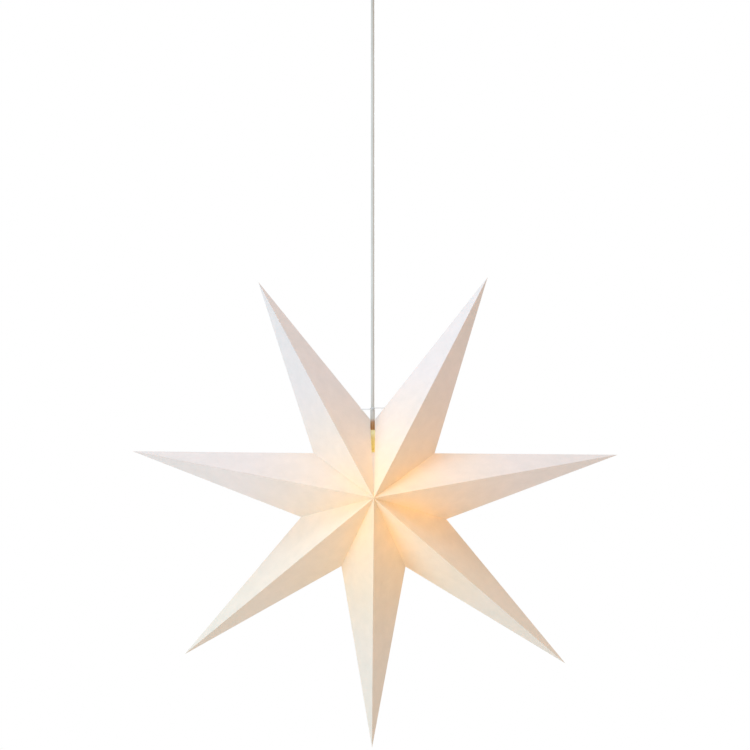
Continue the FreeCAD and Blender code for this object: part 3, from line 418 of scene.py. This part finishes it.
def facet_grid(mesh, apex, valley, tip, inward, seed):
    """One facet as rows square to its ridge, with closer columns beside its folds. Its middle
    bows inwards a little, as card does between two folds."""
    ridge = tip - apex
    length = ridge.length
    ridge.normalize()
    foot = (valley - apex).dot(ridge)
    across = (valley - apex) - ridge * foot
    width = across.length
    across.normalize()
    normal = ridge.cross(across).normalized()
    if normal.dot(inward) < 0:
        normal.negate()
    fold = mesh.verts.layers.float["fold"]
    stations = sorted({foot} | {length * (index / ROWS) ** ROW_CROWDING
                                for index in range(ROWS + 1)})
    rows = []
    for station in stations:
        share = station / foot if station <= foot else (length - station) / (length - foot)
        span = width * share
        edge = min(FOLD_COLUMN, span * 0.1)
        inset = SECOND_COLUMN * edge
        steps = [0, edge, inset]
        steps += [inset + (span - 2 * inset) * index / COLUMNS for index in range(1, COLUMNS)]
        steps += [span - inset, span - edge, span]
        row = []
        for step in steps:
            place = apex + ridge * station + across * step
            middle = math.sin(math.pi * step / span) if span > NO_SPAN else 0
            ends = math.sin(math.pi * min(1, station / length))
            ripple = noise.noise(place * RIPPLES_PER_METRE + Vector((seed, 0, 0)))
            place = place + normal * BOW * middle * ends * (BOW_EVEN + BOW_RIPPLE * ripple)
            vertex = mesh.verts.new(place)
            near = min(step, span - step if station > foot else span)
            vertex[fold] = max(0.0, 1 - near / RUBBED_WIDTH)
            row.append(vertex)
        rows.append(row)
    for low, high in zip(rows, rows[1:]):
        for index in range(len(low) - 1):
            mesh.faces.new((low[index], high[index], high[index + 1], low[index + 1]))


def glue_flap(mesh, apex, valley, tip):
    """A strip with slanted ends along one seam edge, facing the neighbour's flap."""
    along = (valley - apex).normalized()
    length = (valley - apex).length
    back = STAR_CENTRE - apex
    inward = (back - along * along.dot(back)).normalized()
    rim = apex + inward * CARD_THICKNESS / 2
    edge = apex + inward * FLAP_WIDTH
    slant = FLAP_END + FLAP_TAPER
    corners = [rim + along * FLAP_END, rim + along * (length - FLAP_END),
               edge + along * (length - slant), edge + along * slant]
    if along.cross(inward).dot(tip - STAR_CENTRE) > 0:
        corners.reverse()
    face = mesh.faces.new([mesh.verts.new(corner) for corner in corners])
    face.material_index = 1


def wire_hole(valley, tip):
    """Where the hanger's arm crosses the outline fold from the open seam to a tip."""
    side = math.copysign(1, tip.x - CORD_AXIS.x)
    arm = [vertex.co.z for vertex in nodes["hanger_wire"].data.vertices
           if side * (vertex.co.x - CORD_AXIS.x) > WIRE_LOOP_REACH]
    height = max(arm) - WIRE_RADIUS
    return valley.lerp(tip, (height - valley.z) / (tip.z - valley.z))


def punched(piece, place):
    """The piece's finished mesh, with a round hole along X through a place."""
    mesh = bmesh.new()
    across = Matrix.Translation(place) @ Matrix.Rotation(math.pi / 2, 4, "Y")
    bmesh.ops.create_cone(mesh, cap_ends=True, segments=WIRE_HOLE_SEGMENTS,
                          radius1=WIRE_HOLE_RADIUS, radius2=WIRE_HOLE_RADIUS,
                          depth=PUNCH_LENGTH, matrix=across)
    data = bpy.data.meshes.new("punch")
    mesh.to_mesh(data)
    mesh.free()
    punch = bpy.data.objects.new("punch", data)
    bpy.context.scene.collection.objects.link(punch)
    hole = piece.modifiers.new("wire_hole", "BOOLEAN")
    hole.object = punch
    hole.solver = "EXACT"
    depsgraph = bpy.context.evaluated_depsgraph_get()
    finished = bpy.data.meshes.new_from_object(piece.evaluated_get(depsgraph))
    mesh = bmesh.new()
    mesh.from_mesh(finished)
    bmesh.ops.dissolve_degenerate(mesh, dist=SLIVER, edges=mesh.edges)
    mesh.to_mesh(finished)
    mesh.free()
    piece.modifiers.clear()
    piece.data = finished
    bpy.data.objects.remove(punch)


def card_point(name):
    """One hollow point of the star in card: four facets and its glue flaps, thickened inwards;
    the two points beside the open seam are punched for the hanger wire."""
    front, back, tip, valleys = CORNERS[name]
    mesh = bmesh.new()
    mesh.verts.layers.float.new("fold")
    seed = POINTS.index(name) * POINT_SEED
    for apex in (front, back):
        for valley in valleys:
            inward = STAR_CENTRE - (apex + valley + tip) / 3 + (tip - STAR_CENTRE) / 3
            facet_grid(mesh, apex, valley, tip, inward, seed)
            seed += FACET_SEED
    bmesh.ops.remove_doubles(mesh, verts=mesh.verts, dist=MERGE_DISTANCE)
    bmesh.ops.recalc_face_normals(mesh, faces=mesh.faces)
    mesh.faces.ensure_lookup_table()
    first = mesh.faces[0]
    if first.normal.dot(first.calc_center_median() - (front + back + tip) / 3) < 0:
        bmesh.ops.reverse_faces(mesh, faces=mesh.faces)
    open_valleys = []
    for valley in valleys:
        if (valley - STAR_CENTRE).length > CLOSED_VALLEY + OPEN_SEAM_MARGIN:
            open_valleys.append(valley)
            continue
        for apex in (front, back):
            glue_flap(mesh, apex, valley, tip)
    data = bpy.data.meshes.new("card_" + name)
    mesh.to_mesh(data)
    mesh.free()
    piece = bpy.data.objects.new("card_" + name, data)
    bpy.context.scene.collection.objects.link(piece)
    data.materials.append(MATERIALS["star_card"])
    data.materials.append(CARD_INSIDE)
    thicken = piece.modifiers.new("thickness", "SOLIDIFY")
    thicken.thickness = CARD_THICKNESS
    thicken.offset = -1
    thicken.use_even_offset = True
    thicken.material_offset = 1
    thicken.material_offset_rim = 1
    for valley in open_valleys:
        punched(piece, wire_hole(valley, tip))
    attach(piece, "shade")
    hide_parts("point_" + name)
    return piece


# ------------------------------------------------------------------ turned pieces

SEGMENTS = 180
SHARP_ANGLE = math.radians(28)
# An outline that ends on the axis stops this short of it, so that no face is empty
AXIS_RADIUS = 0.00001
SKIRT_RIBS = 45
RIB_DEPTH = 0.0005
HOLDER_WALL = 0.0016
JOINT_CHAMFER = 0.0008
LEDGE_RADIUS = 0.0095
LEDGE_HEIGHT = 0.002
KNURLS = 36
KNURL_DEPTH = 0.0004
HEAD_CHAMFER = 0.0005
# The dish in a screw's head, as shares of the head's radius
DISH_RIM = 0.7
DISH_FLOOR = 0.6
SCREW_SHANK_LENGTH = 0.007
SCREW_SHANK_RADIUS = 0.002


def lathe(outline, ribs, depth):
    """A closed outline of (radius, height, share of the ribs' depth) turned round Z."""
    mesh = bmesh.new()
    rings = []
    for segment in range(SEGMENTS):
        turn = 2 * math.pi * segment / SEGMENTS
        dip = depth * (0.5 - 0.5 * math.cos(ribs * turn)) ** 2
        ring = []
        for radius, height, share in outline:
            reach = radius - dip * share
            ring.append(mesh.verts.new((reach * math.cos(turn), reach * math.sin(turn), height)))
        rings.append(ring)
    for index, ring in enumerate(rings):
        after = rings[(index + 1) % SEGMENTS]
        for low in range(len(outline)):
            high = (low + 1) % len(outline)
            mesh.faces.new((ring[low], after[low], after[high], ring[high]))
    bmesh.ops.recalc_face_normals(mesh, faces=mesh.faces)
    return mesh


def turned_piece(name, meshes, replaced, body, slot):
    """One object from turned meshes, with sharp edges kept and the rest shaded smooth."""
    data = bpy.data.meshes.new(name)
    whole = bmesh.new()
    for mesh, place in meshes:
        bmesh.ops.transform(mesh, matrix=place, verts=mesh.verts)
        part = bpy.data.meshes.new("part")
        mesh.to_mesh(part)
        mesh.free()
        whole.from_mesh(part)
        bpy.data.meshes.remove(part)
    for face in whole.faces:
        face.smooth = True
    for edge in whole.edges:
        if len(edge.link_faces) == 2 and edge.calc_face_angle() > SHARP_ANGLE:
            edge.smooth = False
    whole.to_mesh(data)
    whole.free()
    piece = bpy.data.objects.new(name, data)
    bpy.context.scene.collection.objects.link(piece)
    data.materials.append(SPECIAL.get(replaced, MATERIALS[slot]))
    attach(piece, body)
    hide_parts(replaced)
    return piece


def ribbed_skirt():
    """The lampholder's lower half: grip ribs, a chamfer at the joint and the carrier's ledge."""
    low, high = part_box("holder_skirt")
    radius = (high.x - low.x) / 2
    inner = radius - HOLDER_WALL
    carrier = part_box("contact_carrier")[0].z
    rib_low = low.z + 2 * HOLDER_WALL
    rib_high = high.z - 3 * HOLDER_WALL
    outline = [(radius - HOLDER_WALL / 3, low.z, 0), (radius, low.z + HOLDER_WALL, 0),
               (radius, rib_low, 0), (radius, rib_low + HOLDER_WALL, 1),
               (radius, rib_high - HOLDER_WALL, 1), (radius, rib_high, 0),
               (radius, high.z - JOINT_CHAMFER, 0), (radius - JOINT_CHAMFER, high.z, 0),
               (inner, high.z, 0), (inner, carrier, 0), (LEDGE_RADIUS, carrier, 0),
               (LEDGE_RADIUS, carrier - LEDGE_HEIGHT, 0), (inner, carrier - LEDGE_HEIGHT, 0),
               (inner, low.z, 0)]
    turned_piece("ribbed_skirt", [(lathe(outline, SKIRT_RIBS, RIB_DEPTH), Matrix())],
                 "holder_skirt", "lampholder", "white_plastic")


def knurled_screws():
    """The two cup screws: a chamfered, knurled head with a dished face, and the shank."""
    low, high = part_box("cup_screws")
    centre = mid(low, high)
    head_radius = (high.z - low.z) / 2
    cup_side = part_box("ceiling_cup")[1].x
    head = high.x - cup_side
    meshes = []
    for side in (1, -1):
        outline = [(AXIS_RADIUS, -SCREW_SHANK_LENGTH, 0),
                   (SCREW_SHANK_RADIUS, -SCREW_SHANK_LENGTH, 0),
                   (SCREW_SHANK_RADIUS, 0, 0), (head_radius - HEAD_CHAMFER, 0, 0),
                   (head_radius, HEAD_CHAMFER, 0), (head_radius, 2 * HEAD_CHAMFER, 1),
                   (head_radius, head - 2 * HEAD_CHAMFER, 1),
                   (head_radius, head - HEAD_CHAMFER, 0),
                   (head_radius - HEAD_CHAMFER, head, 0), (head_radius * DISH_RIM, head, 0),
                   (head_radius * DISH_FLOOR, head - HEAD_CHAMFER, 0),
                   (AXIS_RADIUS, head - HEAD_CHAMFER, 0)]
        place = (Matrix.Translation((side * cup_side, centre.y, centre.z))
                 @ Matrix.Rotation(side * math.pi / 2, 4, "Y"))
        meshes.append((lathe(outline, KNURLS, KNURL_DEPTH), place))
    turned_piece("knurled_screws", meshes, "cup_screws", "ceiling_rose", "zinc_steel")


# ------------------------------------------------------------------ cord

# The cord's line has a point this far from each end
CORD_END_RUN = 0.04


def pendant_cord():
    """The hanging cord: a straight line from the grip's mouth down into the lampholder."""
    low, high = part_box("pendant_cord")
    diameter = high.x - low.x
    centre = mid(low, high)
    heights = (high.z, high.z - CORD_END_RUN, centre.z, low.z + CORD_END_RUN, low.z)
    curve = bpy.data.curves.new("pendant_cord_line", "CURVE")
    curve.dimensions = "3D"
    spline = curve.splines.new("NURBS")
    spline.points.add(len(heights) - 1)
    for point, height in zip(spline.points, heights):
        point.co = (centre.x, centre.y, height, 1)
    spline.order_u = 3
    spline.use_endpoint_u = True
    curve.bevel_depth = diameter / 2
    curve.bevel_resolution = 14
    curve.use_fill_caps = True
    piece = bpy.data.objects.new("hanging_cord", curve)
    bpy.context.scene.collection.objects.link(piece)
    curve.materials.append(MATERIALS["white_cord"])
    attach(piece, "lampholder")
    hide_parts("pendant_cord")


# ------------------------------------------------------------------ studio

CAMERA_DISTANCE = 4.0
SENSOR_MM = 36.0
CLIP_END = 50
# Rounds in which the camera's pitch and its focal length settle on each other
PITCH_ROUNDS = 4
WORLD_COLOUR = (1.0, 0.86, 0.74, 1)
WORLD_LEVEL = 0.775
# Each lamp's direction from the star's middle, its power and its colour
LAMPS = [
    ("key", (-0.75, -0.6, 0.1), 69.0, (0.42, 0.75, 1.0)),
    ("top", (-0.1, -0.35, 0.93), 44.0, (0.64, 0.80, 1.0)),
    ("low", (-0.1, -0.6, -0.8), 25.0, (1.0, 0.93, 0.75)),
    ("back", (0.35, 0.9, 0.25), 50.0, (0.6, 0.82, 1.0)),
]
LAMP_DISTANCE = 3.6
LAMP_SIZE = 1.6
BULB_POWER = 3.2
BULB_COLOUR = (1.0, 0.88, 0.30)
BULB_LIGHT_RADIUS = 0.02
# The photograph's glow is strongest a little right of the bulb's middle and below it
HOT_SPOT = Vector((0.018, 0, -0.007))
FLOOR_RADIUS = 3.0
FLOOR_HEIGHT = -2.4
FLOOR_SEGMENTS = 96


def lamp(name, kind, place, energy, colour, size, target=None, body=None):
    """A lamp at a place, turned to a target and carried by a body where these are given."""
    data = bpy.data.lights.new(name, kind)
    data.energy = energy
    data.color = colour
    if kind == "AREA":
        data.size = size
    else:
        data.shadow_soft_size = size
    piece = bpy.data.objects.new(name, data)
    bpy.context.scene.collection.objects.link(piece)
    piece.location = place
    if target is not None:
        piece.rotation_mode = "QUATERNION"
        piece.rotation_quaternion = (Vector(target) - Vector(place)).to_track_quat("-Z", "Y")
    if body:
        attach(piece, body)
    return piece


def bulb_light():
    """The bulb's light. It fades with distance and not with its square, as in a white box whose
    walls pass the light on."""
    light = lamp("bulb_light", "POINT", BULB_CENTRE + HOT_SPOT, BULB_POWER, BULB_COLOUR,
                 BULB_LIGHT_RADIUS, body="bulb")
    light.data.use_nodes = True
    tree = light.data.node_tree
    fade = add(tree, "ShaderNodeLightFalloff", Strength=1.0)
    tree.links.new(fade.outputs["Linear"], tree.nodes["Emission"].inputs["Strength"])


def around(direction):
    """A place at the lamps' distance from the star's centre, in a direction."""
    return STAR_CENTRE + Vector(direction).normalized() * LAMP_DISTANCE


def studio_world(colour, level):
    """White to the camera, in gloss and through glass; a soft even light on the object."""
    world = bpy.data.worlds.new("studio")
    bpy.context.scene.world = world
    world.use_nodes = True
    tree = world.node_tree
    tree.nodes.clear()
    rays = add(tree, "ShaderNodeLightPath")
    mirrored = add(tree, "ShaderNodeMath", operation="MAXIMUM")
    tree.links.new(rays.outputs["Is Glossy Ray"], mirrored.inputs[0])
    tree.links.new(rays.outputs["Is Transmission Ray"], mirrored.inputs[1])
    seen = add(tree, "ShaderNodeMath", operation="MAXIMUM")
    tree.links.new(rays.outputs["Is Camera Ray"], seen.inputs[0])
    tree.links.new(mirrored.outputs[0], seen.inputs[1])
    light = add(tree, "ShaderNodeBackground", Color=colour, Strength=level)
    white = add(tree, "ShaderNodeBackground", Color=(1, 1, 1, 1), Strength=1.0)
    mix = add(tree, "ShaderNodeMixShader", Fac=seen.outputs[0])
    tree.links.new(light.outputs[0], mix.inputs[1])
    tree.links.new(white.outputs[0], mix.inputs[2])
    output = add(tree, "ShaderNodeOutputWorld")
    tree.links.new(mix.outputs[0], output.inputs["Surface"])


def studio_floor():
    """A pale round floor far below the star, out of the photograph's frame. It fades into the
    white world towards its rim, and can't be seen from below."""
    mesh = bmesh.new()
    bmesh.ops.create_circle(mesh, cap_ends=True, radius=FLOOR_RADIUS, segments=FLOOR_SEGMENTS)
    data = bpy.data.meshes.new("studio_floor")
    mesh.to_mesh(data)
    mesh.free()
    floor = bpy.data.objects.new("studio_floor", data)
    bpy.context.scene.collection.objects.link(floor)
    floor.location = (0, 0, FLOOR_HEIGHT)
    material, tree, output = new_material("floor_paper")
    patches = noise_field(tree, surface_place(tree), 1.5)
    paper = add(tree, "ShaderNodeBsdfDiffuse",
                Color=tinted(tree, patches, (0.90, 0.90, 0.90, 1), (0.92, 0.92, 0.92, 1)))
    clear = add(tree, "ShaderNodeBsdfTransparent")
    side = add(tree, "ShaderNodeNewGeometry")
    reach = add(tree, "ShaderNodeVectorMath", operation="LENGTH")
    tree.links.new(add(tree, "ShaderNodeTexCoord").outputs["Object"], reach.inputs[0])
    share = add(tree, "ShaderNodeMapRange")
    tree.links.new(reach.outputs["Value"], share.inputs["Value"])
    share.inputs["From Max"].default_value = FLOOR_RADIUS
    rim = ramp(tree, share.outputs[0], [(0.35, grey(0)), (0.97, grey(1))])
    gone = add(tree, "ShaderNodeMath", operation="MAXIMUM")
    tree.links.new(rim, gone.inputs[0])
    tree.links.new(side.outputs["Backfacing"], gone.inputs[1])
    mix = add(tree, "ShaderNodeMixShader", Fac=gone.outputs[0])
    tree.links.new(paper.outputs[0], mix.inputs[1])
    tree.links.new(clear.outputs[0], mix.inputs[2])
    tree.links.new(mix.outputs[0], output.inputs["Surface"])
    data.materials.append(material)


def photo_camera():
    """A long lens in front of the star's centre, pitched up to the photograph's framing, so
    that the front apex falls on its pixel."""
    drop = APEX_PIXEL_Y - PHOTO_PIXELS / 2
    pitch = math.atan(drop * METRES_PER_PIXEL / CAMERA_DISTANCE)
    for _ in range(PITCH_ROUNDS):
        focal_pixels = CAMERA_DISTANCE * math.cos(pitch) / METRES_PER_PIXEL
        pitch = math.atan(drop / focal_pixels)
    data = bpy.data.cameras.new("photo_camera")
    data.sensor_width = SENSOR_MM
    data.lens = focal_pixels / PHOTO_PIXELS * SENSOR_MM
    camera = bpy.data.objects.new("photo_camera", data)
    bpy.context.scene.collection.objects.link(camera)
    aside = (PHOTO_PIXELS / 2 - APEX_PIXEL_X) * METRES_PER_PIXEL
    camera.location = (APEX.x + aside, STAR_CENTRE.y - CAMERA_DISTANCE, STAR_CENTRE.z)
    camera.rotation_euler = (math.pi / 2 + pitch, 0, 0)
    data.clip_end = CLIP_END
    bpy.context.scene.camera = camera


# ------------------------------------------------------------------ put together

bpy.context.scene.view_settings.view_transform = "Standard"
photo_camera()
pendant_cord()
dress_cad_nodes()
for point in POINTS:
    card_point(point)
ribbed_skirt()
knurled_screws()
studio_world(WORLD_COLOUR, WORLD_LEVEL)
studio_floor()
for name, direction, power, colour in LAMPS:
    lamp(name, "AREA", around(direction), power, colour, LAMP_SIZE, STAR_CENTRE)
bulb_light()
